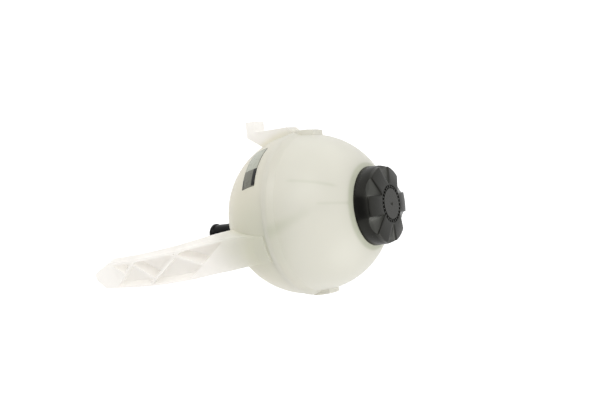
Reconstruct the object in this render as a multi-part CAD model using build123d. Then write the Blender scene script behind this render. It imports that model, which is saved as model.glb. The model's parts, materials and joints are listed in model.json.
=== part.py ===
"""Coolant expansion tank with a lattice leg, a hook tab and a pressure cap.

Two moulded halves are welded into a ball.  The lower half carries a long lattice leg, a hook
tab and the outlet spigot.  The upper half carries the filler neck, which a six-lobed screw cap
closes.  The cap holds a plug with a pressure valve and a vacuum valve.

Sizes are in millimetres.  Everything is drawn about the centre of the ball, neck up (+Z), and
then moved so that the origin is the middle of the leg's tongue, where the tank is held.
"""
import math
import os

from build123d import *

# Ball
BALL_RADIUS = 70.0
UPPER_RADIUS = 68.0
BALL_WALL = 3.0
BAND_HEIGHT = 3.6
SEAM_Z = 0.0
WELD_HEIGHT = 2.2
WELD_PROUD = 0.9
WELD_ROUND = 0.8
WELD_FLANK_ANGLE = 4.0
WELD_FLANK_ROUND = 5.0
WELD_FLAT = 0.3

# Filler neck
NECK_BORE_RADIUS = 16.5
NECK_WALL = 2.7
NECK_TOP_Z = 76.5
NECK_TUBE_Z = 57.0
NECK_TUBE_WALL = 2.0

# Ribs inside the upper half: azimuths from -Y towards +X
INNER_RIB_AZIMUTHS = (-25.0, -5.0)
INNER_RIB_DEPTH = 12.0
INNER_RIB_THICKNESS = 1.8
INNER_RIB_LOW_Z = 16.0
INNER_RIB_HIGH_Z = 50.0

# Pads above the weld, on the tab's side and on the far side
PAD_WIDTH = 16.5
TAB_PAD_PROUD = 4.3
TAB_PAD_HIGH_Z = 18.5
FAR_PAD_PROUD = 3.6
FAR_PAD_HIGH_Z = 16.0

# Return nipple on the hidden side
NIPPLE_RADIUS = 4.0
NIPPLE_BORE_RADIUS = 2.4
NIPPLE_BEAD = 0.7
NIPPLE_BEAD_LENGTH = 3.0
NIPPLE_LENGTH = 20.0
NIPPLE_Z = 16.0

# Leg: azimuth of its plane, and its rim seen from the side as radius against height
LEG_AZIMUTH = 23.0
LEG_ROOT_Z = -4.5
LEG_ROOT_RIM = 68.5
LEG_KNEE_Z = -80.0
LEG_KNEE_RIM = 79.0
LEG_SHIN_Z = -150.0
LEG_SHIN_RIM = 88.7
LEG_TIP_Z = -181.0
LEG_TIP_RIM = 88.4
LEG_FLARE_SAG = 3.6
LEG_SHIN_SAG = 3.0
LEG_ROOT_DEPTH = 19.0
LEG_KNEE_DEPTH = 15.0
LEG_SHIN_DEPTH = 11.5
LEG_TIP_DEPTH = 10.5
LEG_ROOT_PROUD = 0.9
LEG_ROOT_NEAR = 14.5
LEG_ROOT_FAR = 10.0
LEG_WAIST_Z = -45.0
LEG_WAIST_NEAR = 16.5
LEG_WAIST_FAR = 14.0
LEG_KNEE_FAR = 15.0
LEG_END_HALF = 12.3
LEG_NEAR_CORNER = 20.0
LEG_FAR_CORNER = 6.5
LEG_NOSE_NEAR = 3.0
LEG_NOSE_FAR = 4.0
LEG_WEB = 2.4
LEG_FLANGE = 2.2
LEG_RIB = 2.0
LEG_EDGE_ROUND = 0.8
LEG_TONGUE_LENGTH = 20.0

# Lattice in the leg, from the tongue up.  Braces: heights at the near and at the far edge.
# Struts: height at the near edge, and the share of the same brace's length at which they end.
BRACE_HALF = 14.0
BRACES = ((-128.4, -164.5), (-84.7, -125.3), (-43.1, -82.9))
STRUTS = ((-161.7, 0.475), (-138.0, 0.757), (-95.0, 0.636))

# Hook tab on -X
TAB_FACE = 76.4
TAB_WIDTH = 16.5
TAB_END_Z = -49.8
TAB_END_THICKNESS = 4.3
TAB_ROOT_Z = -7.0
TAB_GUSSET_Z = -32.0
HOOK_HEIGHT = 9.9
HOOK_THICKNESS = 9.2
HOOK_ROUND = 0.6

# Outlet
OUTLET_X = 9.5
OUTLET_BOSS_RADIUS = 12.5
OUTLET_BOSS_DROP = 4.0
OUTLET_SOCKET_RADIUS = 9.2
SPIGOT_RADIUS = 8.3
SPIGOT_BORE_RADIUS = 6.3
SPIGOT_LENGTH = 30.0
SPIGOT_BEAD = 1.0
SPIGOT_BEAD_LENGTH = 5.0
SPIGOT_FLANGE_RADIUS = 11.8
SPIGOT_FLANGE = 2.6
SPIGOT_SOCKET_CLEARANCE = 0.15
OUTLET_SEAL_HEIGHT = 2.4
OUTLET_SEAL_DEPTH = 1.4

# Label
LABEL_AZIMUTH = -41.5
LABEL_LATITUDE = -15.6
LABEL_WIDTH = 41.0
LABEL_HEIGHT = 15.0
LABEL_THICKNESS = 0.3

# Cap
CAP_RADIUS = 33.4
CAP_RIM_GAP = 0.3
CAP_TOP_Z = 81.0
CAP_WALL = 2.2
CAP_SHOULDER_RADIUS = 32.7
CAP_SHOULDER_Z = 75.2
CAP_SHOULDER_ROUND = 0.8
CROWN_RADIUS = 32.4
CROWN_SLOPE = 3.6
CROWN_ROUND = 1.4
DISC_RADIUS = 15.4
DISC_GROOVE_WIDTH = 2.0
DISC_GROOVE_DEPTH = 0.9
LOBES = 6
FLUTE_HALF_ANGLE = 16.0
FLUTE_APEX = 17.8
FLUTE_FOOT_RADIUS = 30.0
LOBE_ROUND = 1.5

# Cap thread and hub
THREAD_HEIGHT = 1.3
THREAD_CLEARANCE = 0.5
THREAD_PITCH = 3.0
HUB_RADIUS = 13.5
HUB_WALL = 2.0
HUB_LOW_Z = 74.2
HUB_BARB = 0.8
HUB_BARB_HEIGHT = 1.1
TURN_CLEARANCE = 0.3

# Plug
PLUG_CLEARANCE = 0.5
PLUG_FLANGE_REACH = 1.1
PLUG_FLANGE = 1.8
PLUG_SEAT_GAP = 0.2
PLUG_LOW_Z = 54.0
PLUG_CHAMBER_RADIUS = 12.5
PLUG_FLOOR = 3.0
PLUG_LIP = 3.0
THROAT_RADIUS = 8.5
SEAT_WIDTH = 1.2
SEAT_HEIGHT = 0.6
SEAL_Z = 64.0
SEAL_HEIGHT = 2.6
SEAL_DEPTH = 1.3
SEAL_CLEARANCE = 0.05
WINDOW_WIDTH = 5.0
WINDOW_HEIGHT = 3.0
WINDOW_Z = 69.0
WINDOWS = 4

# Valves
RETAINER_THICKNESS = 1.2
RETAINER_HOLE_RADIUS = 6.0
GASKET_THICKNESS = 1.2
GASKET_MARGIN = 1.1
VALVE_GAP = 0.05
PLATE_THICKNESS = 1.5
PLATE_CLEARANCE = 0.6
PLATE_COLLAR_RADIUS = 7.6
PLATE_COLLAR_WALL = 1.3
PLATE_COLLAR_HEIGHT = 1.6
PORTS = 4
PORT_RADIUS = 0.8
PORT_CIRCLE = 3.5
STEM_RADIUS = 1.7
STEM_CLEARANCE = 0.3
STEM_DISC_MARGIN = 0.4
STEM_DISC_THICKNESS = 1.2
STEM_TOP_RADIUS = 3.7
STEM_TOP_THICKNESS = 1.0
VACUUM_SPRING_LENGTH = 5.8
WASHER_RADIUS = 5.0
WASHER_THICKNESS = 0.8
MAIN_WIRE = 1.4
MAIN_TURNS = 3
SMALL_WIRE = 0.6
SMALL_TURNS = 3
SPRING_CLEARANCE = 0.5
SPRING_END_MARGIN = 0.1

# Sizes that follow from the ones above
UPPER_CENTRE_Z = BAND_HEIGHT
INNER_RADIUS = BALL_RADIUS - BALL_WALL
UPPER_INNER_RADIUS = UPPER_RADIUS - BALL_WALL
OUTLET_BOSS_Z = -BALL_RADIUS - OUTLET_BOSS_DROP
SPIGOT_END_Z = OUTLET_BOSS_Z - SPIGOT_LENGTH
NECK_RADIUS = NECK_BORE_RADIUS + NECK_WALL
THREAD_RADIUS = NECK_RADIUS + THREAD_HEIGHT
CAP_THREAD_RADIUS = THREAD_RADIUS + THREAD_CLEARANCE


def dome_z(radius, ball=UPPER_RADIUS, centre=UPPER_CENTRE_Z):
    """Height of the upper half ball at a distance from the axis."""
    return centre + math.sqrt(ball ** 2 - radius ** 2)


def bowl_z(radius, ball=BALL_RADIUS):
    """Height of the lower half ball at a distance from the axis."""
    return -math.sqrt(ball ** 2 - radius ** 2)


def bowl_radius(height, ball=BALL_RADIUS):
    """Distance from the axis of the lower half ball at a height."""
    return math.sqrt(ball ** 2 - height ** 2)


CAP_RIM_Z = dome_z(CAP_RADIUS - CAP_WALL) + CAP_RIM_GAP
CAP_EDGE_Z = dome_z(CAP_RADIUS) + CAP_RIM_GAP
PLUG_RADIUS = NECK_BORE_RADIUS - PLUG_CLEARANCE
PLUG_FLANGE_LOW_Z = NECK_TOP_Z + PLUG_SEAT_GAP
PLUG_TOP_Z = PLUG_FLANGE_LOW_Z + PLUG_FLANGE
PLUG_FLANGE_RADIUS = NECK_BORE_RADIUS + PLUG_FLANGE_REACH
PLUG_LIP_RADIUS = HUB_RADIUS + TURN_CLEARANCE
BARB_RADIUS = HUB_RADIUS + HUB_BARB
PLUG_SNAP_RADIUS = BARB_RADIUS + TURN_CLEARANCE
PLUG_LIP_LOW_Z = PLUG_TOP_Z - PLUG_LIP
RETAINER_TOP_Z = HUB_LOW_Z - TURN_CLEARANCE
RETAINER_LOW_Z = RETAINER_TOP_Z - RETAINER_THICKNESS
PLUG_FLOOR_Z = PLUG_LOW_Z + PLUG_FLOOR
GASKET_LOW_Z = PLUG_FLOOR_Z + SEAT_HEIGHT + VALVE_GAP
PLATE_LOW_Z = GASKET_LOW_Z + GASKET_THICKNESS
PLATE_TOP_Z = PLATE_LOW_Z + PLATE_THICKNESS
PLATE_RADIUS = PLUG_CHAMBER_RADIUS - PLATE_CLEARANCE
STEM_COLLAR_Z = PLATE_TOP_Z + VACUUM_SPRING_LENGTH


def leg_frame():
    """Plane of the leg: x runs across it, y is up, and z points outwards."""
    turn = math.radians(LEG_AZIMUTH)
    across = (math.cos(turn), math.sin(turn), 0)
    outwards = (math.sin(turn), -math.cos(turn), 0)
    return Plane(origin=(0, 0, 0), x_dir=across, z_dir=outwards)


def leg_side_frame():
    """Plane through the axis that shows the leg from the side: x is outwards, y is up."""
    front = leg_frame()
    return Plane(origin=(0, 0, 0), x_dir=front.z_dir, z_dir=-front.x_dir)


TONGUE_Z = LEG_TIP_Z + LEG_TONGUE_LENGTH
TONGUE_RADIUS = LEG_TIP_RIM - LEG_TIP_DEPTH / 2
TONGUE = leg_frame().from_local_coords(Vector(0, TONGUE_Z, TONGUE_RADIUS))


def turned(points):
    """Solid of revolution about the axis from a closed outline of (radius, height) points."""
    return revolve(Plane.XZ * make_face(Polyline(*points, close=True)), Axis.Z)


def ring(outer, inner, low, high):
    """Plain ring about the axis."""
    return turned([(inner, low), (outer, low), (outer, high), (inner, high)])


def rod(radius, low, high):
    """Plain round bar about the axis."""
    return Pos(0, 0, low) * Cylinder(radius, high - low, align=(Align.CENTER, Align.CENTER, Align.MIN))


def arc_between(start, end, sag):
    """Arc between two points that bulges to the left of the way it runs."""
    mid = (Vector(*start) + Vector(*end)) * 0.5
    way = (Vector(*end) - Vector(*start)).normalized()
    side = Vector(-way.Y, way.X)
    return ThreePointArc(start, mid + side * sag, end)


def swelling(ball, proud, centre=0.0):
    """Skin from the middle of a ball's wall out to a distance proud of it."""
    return Pos(0, 0, centre) * (Sphere(ball + proud) - Sphere(ball - BALL_WALL / 2))


def pad(proud, high):
    """Raised pad on the upper half, on +X, from the weld up."""
    block = Box(2 * BALL_RADIUS, PAD_WIDTH, high - SEAM_Z, align=(Align.MIN, Align.CENTER, Align.MIN))
    return swelling(UPPER_RADIUS, proud, UPPER_CENTRE_Z) & (Pos(0, 0, SEAM_Z) * block)


def bowl():
    """Lower half ball with its share of the weld bead."""
    seam_out = bowl_radius(SEAM_Z)
    seam_in = bowl_radius(SEAM_Z, INNER_RADIUS)
    bead_low = SEAM_Z - WELD_HEIGHT
    bead_out = seam_out + WELD_PROUD
    low_angle = math.degrees(math.asin(bead_low / BALL_RADIUS))
    inner_angle = math.degrees(math.asin(SEAM_Z / INNER_RADIUS))
    outside = CenterArc((0, 0), BALL_RADIUS, -90, 90 + low_angle)
    inside = CenterArc((0, 0), INNER_RADIUS, -90, 90 + inner_angle)
    lip = Polyline(outside @ 1, (bead_out, bead_low), (bead_out, SEAM_Z), (seam_in, SEAM_Z))
    foot = Line(inside @ 0, outside @ 0)
    solid = revolve(Plane.XZ * make_face([outside, lip, inside, foot]), Axis.Z)
    edge = solid.edges().filter_by(GeomType.CIRCLE).filter_by(lambda e: abs(e.radius - bead_out) < 1e-6)
    return fillet(edge.sort_by(Axis.Z)[:1], WELD_ROUND)


def leg_outline():
    """Front outline of the leg: x across, y height."""
    near_end = (-LEG_END_HALF, LEG_TIP_Z + LEG_NEAR_CORNER)
    far_end = (LEG_END_HALF, LEG_TIP_Z + LEG_FAR_CORNER)
    return make_face(Polyline(
        (-LEG_ROOT_NEAR, LEG_ROOT_Z),
        (-LEG_WAIST_NEAR, LEG_WAIST_Z),
        near_end,
        (-LEG_NOSE_NEAR, LEG_TIP_Z),
        (LEG_NOSE_FAR, LEG_TIP_Z),
        far_end,
        (LEG_KNEE_FAR, LEG_KNEE_Z),
        (LEG_WAIST_FAR, LEG_WAIST_Z),
        (LEG_ROOT_FAR, LEG_ROOT_Z),
        close=True,
    ))


def leg_rim():
    """The leg's rim seen from the side, from the root down to the tip."""
    root = (LEG_ROOT_RIM, LEG_ROOT_Z)
    knee = (LEG_KNEE_RIM, LEG_KNEE_Z)
    shin = (LEG_SHIN_RIM, LEG_SHIN_Z)
    tip = (LEG_TIP_RIM, LEG_TIP_Z)
    return [arc_between(root, knee, -LEG_FLARE_SAG), arc_between(knee, shin, LEG_SHIN_SAG), Line(shin, tip)]


def leg_back(inset):
    """The leg's back seen from the side, an inset in front of it, from the root down to the tip."""
    root = (LEG_ROOT_RIM - LEG_ROOT_DEPTH + inset, LEG_ROOT_Z)
    knee = (LEG_KNEE_RIM - LEG_KNEE_DEPTH + inset, LEG_KNEE_Z)
    shin = (LEG_SHIN_RIM - LEG_SHIN_DEPTH + inset, LEG_SHIN_Z)
    tip = (LEG_TIP_RIM - LEG_TIP_DEPTH + inset, LEG_TIP_Z)
    return [arc_between(root, knee, -LEG_FLARE_SAG), arc_between(knee, shin, LEG_SHIN_SAG), Line(shin, tip)]


def leg_side(inset, over=0.0):
    """Side profile of the leg between its back, moved in by an inset, and its rim."""
    rim = [edge.moved(Pos(over, 0)) for edge in leg_rim()]
    back = leg_back(inset)
    top = Line(back[0] @ 0, rim[0] @ 0)
    foot = Line(rim[-1] @ 1, back[-1] @ 1)
    return make_face(rim + back + [top, foot])


def bar(start, end):
    """Plan of one straight rib of the lattice between two points."""
    way = Vector(*end) - Vector(*start)
    turn = math.degrees(math.atan2(way.Y, way.X))
    middle = (Vector(*start) + Vector(*end)) * 0.5
    return Pos(middle) * Rot(0, 0, turn) * Rectangle(way.length, LEG_RIB)


def brace_point(index, share):
    """Point on the middle line of a brace, as a share of the way from its near end to its far end."""
    near_z, far_z = BRACES[index]
    return (BRACE_HALF * (2 * share - 1), near_z + (far_z - near_z) * share)


def strut_start(index):
    """Near end of a strut's middle line."""
    return (-BRACE_HALF, STRUTS[index][0])


def strut_end(index):
    """Point where a strut meets its brace."""
    return brace_point(index, STRUTS[index][1])


def leg_pockets():
    """Plan of the leg's open pockets, between the flanges, the braces and the struts."""
    wide = 2 * BRACE_HALF
    foot = strut_start(0)
    field = offset(leg_outline(), -LEG_FLANGE)
    field -= make_face(Polyline(
        (-wide, foot[1]), foot, strut_end(0), brace_point(0, 1.1), (wide, LEG_TIP_Z - 1), (-wide, LEG_TIP_Z - 1),
        close=True))
    field -= make_face(Polyline(
        brace_point(-1, -0.5), brace_point(-1, 1.5), (2 * wide, 0), (-2 * wide, 0), close=True))
    for index in range(len(BRACES)):
        field -= bar(brace_point(index, -0.1), brace_point(index, 1.1))
        field -= bar(strut_start(index), strut_end(index))
    return field


def leg():
    """Lattice leg: a channel with a web at the back and a zigzag rib, solid at its tongue."""
    width = 2 * max(LEG_WAIST_NEAR, LEG_KNEE_FAR) + 2
    reach = LEG_SHIN_RIM + LEG_SHIN_DEPTH
    body = extrude(leg_side_frame() * leg_side(0.0), width / 2, both=True)
    body &= extrude(leg_frame() * leg_outline(), reach)
    body = fillet(body.edges().filter_by(lambda e: e.center().Z < LEG_ROOT_Z - 1), LEG_EDGE_ROUND)
    room = extrude(leg_side_frame() * leg_side(LEG_WEB, over=LEG_ROOT_DEPTH), width / 2, both=True)
    cuts = extrude(leg_frame() * leg_pockets(), reach + LEG_ROOT_DEPTH) & room
    return body - cuts


def leg_root():
    """Low swelling of the ball where the leg starts."""
    wedge = extrude(leg_frame() * leg_outline(), BALL_RADIUS + LEG_ROOT_PROUD)
    keep = Pos(0, 0, LEG_WAIST_Z) * Box(
        4 * BALL_RADIUS, 4 * BALL_RADIUS, SEAM_Z - LEG_WAIST_Z, align=(Align.CENTER, Align.CENTER, Align.MIN))
    return swelling(BALL_RADIUS, LEG_ROOT_PROUD) & wedge & keep


def hook_tab():
    """Tab on -X with a gusset to the ball and an outward hook at its end."""
    half = TAB_WIDTH / 2
    inside = bowl_radius(TAB_GUSSET_Z) - BALL_WALL / 2
    bead_low = SEAM_Z - WELD_HEIGHT
    hook_low = TAB_END_Z
    hook_high = TAB_END_Z + HOOK_THICKNESS
    profile = make_face(Polyline(
        (-inside, TAB_GUSSET_Z),
        (-TAB_FACE + TAB_END_THICKNESS, hook_low),
        (-TAB_FACE - HOOK_HEIGHT, hook_low),
        (-TAB_FACE - HOOK_HEIGHT, hook_high),
        (-TAB_FACE, hook_high),
        (-TAB_FACE, TAB_ROOT_Z),
        (-BALL_RADIUS - WELD_PROUD, bead_low),
        (-inside, bead_low),
        close=True,
    ))
    block = extrude(Plane.XZ * profile, half, both=True)
    free = block.edges().filter_by(lambda e: e.center().X < -TAB_FACE + 0.01 or e.center().Z < hook_low + 0.01)
    return fillet(free, HOOK_ROUND) - Sphere(BALL_RADIUS - BALL_WALL / 2)


def outlet_boss():
    """Boss under the ball that takes the spigot."""
    return Pos(OUTLET_X, 0, 0) * rod(OUTLET_BOSS_RADIUS, OUTLET_BOSS_Z, bowl_z(OUTLET_X + OUTLET_BOSS_RADIUS) + BALL_WALL)


def lower_shell():
    """Lower half of the tank with its leg, its tab and its outlet boss."""
    shell = bowl()
    outside = leg() - Sphere(BALL_RADIUS - BALL_WALL / 2)
    boss = outlet_boss() - Sphere(INNER_RADIUS)
    shell = shell + outside + leg_root() + hook_tab() + boss
    socket = Pos(OUTLET_X, 0, 0) * rod(OUTLET_SOCKET_RADIUS, OUTLET_BOSS_Z - 1, 0)
    return shell - socket


def dome():
    """Upper half ball with its share of the weld bead, the neck and the tube inside it."""
    bead_high = SEAM_Z + WELD_HEIGHT
    bead_out = bowl_radius(SEAM_Z) + WELD_PROUD
    tube_radius = NECK_BORE_RADIUS + NECK_TUBE_WALL
    neck_angle = math.degrees(math.acos(NECK_RADIUS / UPPER_RADIUS))
    tube_angle = math.degrees(math.acos(tube_radius / UPPER_INNER_RADIUS))
    centre = (0, UPPER_CENTRE_Z)
    outside = CenterArc(centre, UPPER_RADIUS, WELD_FLANK_ANGLE, neck_angle - WELD_FLANK_ANGLE)
    inside = CenterArc(centre, UPPER_INNER_RADIUS, 0, tube_angle)
    neck = Polyline(
        outside @ 1,
        (NECK_RADIUS, NECK_TOP_Z),
        (NECK_BORE_RADIUS, NECK_TOP_Z),
        (NECK_BORE_RADIUS, NECK_TUBE_Z),
        (tube_radius, NECK_TUBE_Z),
        inside @ 1,
    )
    band = Polyline(
        inside @ 0,
        (UPPER_INNER_RADIUS, SEAM_Z),
        (bead_out, SEAM_Z),
        (bead_out, bead_high),
        outside @ 0,
    )
    solid = revolve(Plane.XZ * make_face([outside, neck, inside, band]), Axis.Z)
    edge = solid.edges().filter_by(GeomType.CIRCLE).filter_by(lambda e: abs(e.radius - bead_out) < 1e-6)
    flank = outside @ 0
    lean = math.atan2(bead_out - flank.X, flank.Y - bead_high)
    room = (WELD_HEIGHT - WELD_FLAT) / math.tan(abs(lean) / 2)
    return fillet(edge.sort_by(Axis.Z)[-1:], min(WELD_FLANK_ROUND, room))


def inner_rib(azimuth):
    """Stiffening rib inside the upper half, along one meridian."""
    height = INNER_RIB_HIGH_Z - INNER_RIB_LOW_Z
    plate = Pos(0, 0, INNER_RIB_LOW_Z) * Box(
        INNER_RIB_THICKNESS, BALL_RADIUS, height, align=(Align.CENTER, Align.MAX, Align.MIN))
    skin = Sphere(UPPER_RADIUS - BALL_WALL / 2) - Sphere(UPPER_INNER_RADIUS - INNER_RIB_DEPTH)
    skin = Pos(0, 0, UPPER_CENTRE_Z) * skin
    return Rot(0, 0, azimuth) * (plate & skin)


def nipple():
    """Return nipple on the hidden side, without its bore."""
    inside = math.sqrt(UPPER_RADIUS ** 2 - (NIPPLE_Z - UPPER_CENTRE_Z) ** 2) - BALL_WALL
    end = UPPER_RADIUS + NIPPLE_LENGTH
    bead = end - NIPPLE_BEAD_LENGTH
    outline = [
        (0, inside),
        (NIPPLE_RADIUS, inside),
        (NIPPLE_RADIUS, bead),
        (NIPPLE_RADIUS + NIPPLE_BEAD, bead),
        (NIPPLE_RADIUS, end),
        (0, end),
    ]
    return Pos(0, 0, NIPPLE_Z) * Rot(-90, 0, 0) * turned(outline)


def upper_shell():
    """Upper half of the tank with its neck, its pads, its inner ribs and its return nipple."""
    shell = dome()
    for azimuth in INNER_RIB_AZIMUTHS:
        shell += inner_rib(azimuth)
    shell += pad(FAR_PAD_PROUD, FAR_PAD_HIGH_Z)
    shell += Rot(0, 0, 180) * pad(TAB_PAD_PROUD, TAB_PAD_HIGH_Z)
    shell += nipple() - Pos(0, 0, UPPER_CENTRE_Z) * Sphere(UPPER_INNER_RADIUS)
    bore = Pos(0, 0, NIPPLE_Z) * Rot(-90, 0, 0) * rod(NIPPLE_BORE_RADIUS, 0, UPPER_RADIUS + NIPPLE_LENGTH + 1)
    return shell - bore


def label():
    """Thin sticker on the lower half, just under the weld."""
    frame = Rot(0, 0, LABEL_AZIMUTH) * Rot(-LABEL_LATITUDE, 0, 0)
    block = Box(LABEL_WIDTH, BALL_RADIUS + 1, LABEL_HEIGHT, align=(Align.CENTER, Align.MAX, Align.CENTER))
    skin = Sphere(BALL_RADIUS + LABEL_THICKNESS) - Sphere(BALL_RADIUS)
    return (frame * block) & skin


def outlet_spigot():
    """Hose spigot that plugs into the outlet boss and ends in a bead."""
    plug_radius = OUTLET_SOCKET_RADIUS - SPIGOT_SOCKET_CLEARANCE
    flange_low = OUTLET_BOSS_Z - SPIGOT_FLANGE
    top = bowl_z(OUTLET_X)
    groove_high = OUTLET_BOSS_Z + OUTLET_SEAL_HEIGHT
    bead_high = SPIGOT_END_Z + SPIGOT_BEAD_LENGTH
    outline = [
        (SPIGOT_BORE_RADIUS, SPIGOT_END_Z),
        (SPIGOT_RADIUS, SPIGOT_END_Z),
        (SPIGOT_RADIUS + SPIGOT_BEAD, SPIGOT_END_Z + SPIGOT_BEAD_LENGTH * 0.3),
        (SPIGOT_RADIUS + SPIGOT_BEAD, SPIGOT_END_Z + SPIGOT_BEAD_LENGTH * 0.7),
        (SPIGOT_RADIUS, bead_high),
        (SPIGOT_RADIUS, flange_low),
        (SPIGOT_FLANGE_RADIUS, flange_low),
        (SPIGOT_FLANGE_RADIUS, OUTLET_BOSS_Z),
        (plug_radius - OUTLET_SEAL_DEPTH, OUTLET_BOSS_Z),
        (plug_radius - OUTLET_SEAL_DEPTH, groove_high),
        (plug_radius, groove_high),
        (plug_radius, top + BALL_WALL),
        (SPIGOT_BORE_RADIUS, top + BALL_WALL),
    ]
    return Pos(OUTLET_X, 0, 0) * turned(outline)


def outlet_seal():
    """Seal ring of the spigot, between its groove and the socket's wall."""
    groove = OUTLET_SOCKET_RADIUS - SPIGOT_SOCKET_CLEARANCE - OUTLET_SEAL_DEPTH
    high = OUTLET_BOSS_Z + OUTLET_SEAL_HEIGHT
    return Pos(OUTLET_X, 0, 0) * ring(OUTLET_SOCKET_RADIUS, groove, OUTLET_BOSS_Z, high)


def flute_plan():
    """Plan of one flute between two lobes, along +X: an open V."""
    reach = 2 * CAP_RADIUS
    edge_x = CROWN_RADIUS * math.cos(math.radians(FLUTE_HALF_ANGLE))
    edge_y = CROWN_RADIUS * math.sin(math.radians(FLUTE_HALF_ANGLE))
    slope = edge_y / (edge_x - FLUTE_APEX)
    spread = slope * (reach - FLUTE_APEX)
    return make_face(Polyline((FLUTE_APEX, 0), (reach, -spread), (reach, spread), close=True))


def crown_z(radius):
    """Height of the lobes' sloping top at a distance from the axis."""
    return CAP_TOP_Z - (radius - DISC_RADIUS) * math.tan(math.radians(CROWN_SLOPE))


def cap_lobes():
    """Rounded lobes of the cap, between the flutes."""
    low = CAP_SHOULDER_Z - CAP_SHOULDER_ROUND
    outline = Polyline(
        (0, low), (CROWN_RADIUS, low), (CROWN_RADIUS, crown_z(CROWN_RADIUS)),
        (DISC_RADIUS, CAP_TOP_Z), (0, CAP_TOP_Z), close=True)
    profile = make_face(outline)
    rim = profile.vertices().sort_by(Axis.X)[-2:].sort_by(Axis.Y)[-1]
    crown = revolve(Plane.XZ * fillet(rim, CROWN_ROUND), Axis.Z)
    plan = Circle(CROWN_RADIUS) - [Rot(0, 0, index * 360 / LOBES) * flute_plan() for index in range(LOBES)]
    corners = plan.vertices().filter_by(lambda v: math.hypot(v.X, v.Y) > CROWN_RADIUS - 0.01)
    plan = fillet(corners, LOBE_ROUND)
    return crown & Pos(0, 0, low) * extrude(plan, CAP_TOP_Z - low)


def cap_shell():
    """Six-lobed screw cap with its skirt, its thread wall and the hub that holds the plug."""
    core = turned([
        (0, CAP_RIM_Z),
        (CAP_RADIUS - CAP_WALL, CAP_RIM_Z),
        (CAP_RADIUS, CAP_EDGE_Z),
        (CAP_SHOULDER_RADIUS, CAP_SHOULDER_Z - CAP_SHOULDER_ROUND),
        (CAP_SHOULDER_RADIUS - CAP_SHOULDER_ROUND, CAP_SHOULDER_Z),
        (FLUTE_FOOT_RADIUS, CAP_SHOULDER_Z),
        (FLUTE_APEX, crown_z(FLUTE_APEX)),
        (DISC_RADIUS, CAP_TOP_Z),
        (0, CAP_TOP_Z),
    ])
    roof_z = NECK_TOP_Z + PLUG_SEAT_GAP + TURN_CLEARANCE
    recess_z = PLUG_TOP_Z + TURN_CLEARANCE
    thread_low_z = dome_z(CAP_THREAD_RADIUS) + CAP_RIM_GAP
    pocket_in = CAP_THREAD_RADIUS + CAP_WALL
    pocket_z = CAP_SHOULDER_Z - CAP_WALL
    hub_top_z = CAP_TOP_Z - CAP_WALL
    hub_in = HUB_RADIUS - HUB_WALL
    inside = turned([
        (0, CAP_RIM_Z),
        (CAP_RADIUS - CAP_WALL, CAP_RIM_Z),
        (CAP_SHOULDER_RADIUS - CAP_WALL, pocket_z),
        (pocket_in, pocket_z),
        (pocket_in, thread_low_z),
        (CAP_THREAD_RADIUS, thread_low_z),
        (CAP_THREAD_RADIUS, roof_z),
        (PLUG_FLANGE_RADIUS + TURN_CLEARANCE, roof_z),
        (PLUG_FLANGE_RADIUS + TURN_CLEARANCE, recess_z),
        (HUB_RADIUS, recess_z),
        (HUB_RADIUS, HUB_LOW_Z + HUB_BARB_HEIGHT),
        (BARB_RADIUS, HUB_LOW_Z + HUB_BARB_HEIGHT),
        (HUB_RADIUS, HUB_LOW_Z),
        (hub_in, HUB_LOW_Z),
        (hub_in, hub_top_z),
        (0, hub_top_z),
    ])
    groove = ring(DISC_RADIUS, DISC_RADIUS - DISC_GROOVE_WIDTH, CAP_TOP_Z - DISC_GROOVE_DEPTH, CAP_TOP_Z + 1)
    return core + cap_lobes() - inside - groove


def cap_plug():
    """Plug under the cap: flange on the neck, seal groove, windows and the main valve's seat."""
    seat_out = THROAT_RADIUS + SEAT_WIDTH
    body = turned([
        (THROAT_RADIUS, PLUG_LOW_Z),
        (PLUG_RADIUS, PLUG_LOW_Z),
        (PLUG_RADIUS, SEAL_Z),
        (PLUG_RADIUS - SEAL_DEPTH, SEAL_Z),
        (PLUG_RADIUS - SEAL_DEPTH, SEAL_Z + SEAL_HEIGHT),
        (PLUG_RADIUS, SEAL_Z + SEAL_HEIGHT),
        (PLUG_RADIUS, PLUG_FLANGE_LOW_Z),
        (PLUG_FLANGE_RADIUS, PLUG_FLANGE_LOW_Z),
        (PLUG_FLANGE_RADIUS, PLUG_TOP_Z),
        (PLUG_LIP_RADIUS, PLUG_TOP_Z),
        (PLUG_LIP_RADIUS, PLUG_LIP_LOW_Z),
        (PLUG_SNAP_RADIUS, PLUG_LIP_LOW_Z),
        (PLUG_SNAP_RADIUS, RETAINER_LOW_Z),
        (PLUG_CHAMBER_RADIUS, RETAINER_LOW_Z),
        (PLUG_CHAMBER_RADIUS, PLUG_FLOOR_Z),
        (seat_out, PLUG_FLOOR_Z),
        (seat_out, PLUG_FLOOR_Z + SEAT_HEIGHT),
        (THROAT_RADIUS, PLUG_FLOOR_Z + SEAT_HEIGHT),
    ])
    window = Pos(0, 0, WINDOW_Z) * Box(
        2 * PLUG_RADIUS, WINDOW_WIDTH, WINDOW_HEIGHT, align=(Align.MIN, Align.CENTER, Align.MIN))
    for index in range(WINDOWS):
        body -= Rot(0, 0, index * 360 / WINDOWS) * window
    return body


def plug_seal():
    """Seal ring in the plug's groove, drawn as it sits in the neck."""
    return ring(NECK_BORE_RADIUS - SEAL_CLEARANCE, PLUG_RADIUS - SEAL_DEPTH, SEAL_Z, SEAL_Z + SEAL_HEIGHT)


def spring_retainer():
    """Disc that snaps into the plug above the main spring."""
    return ring(PLUG_SNAP_RADIUS, RETAINER_HOLE_RADIUS, RETAINER_LOW_Z, RETAINER_TOP_Z)


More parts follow.
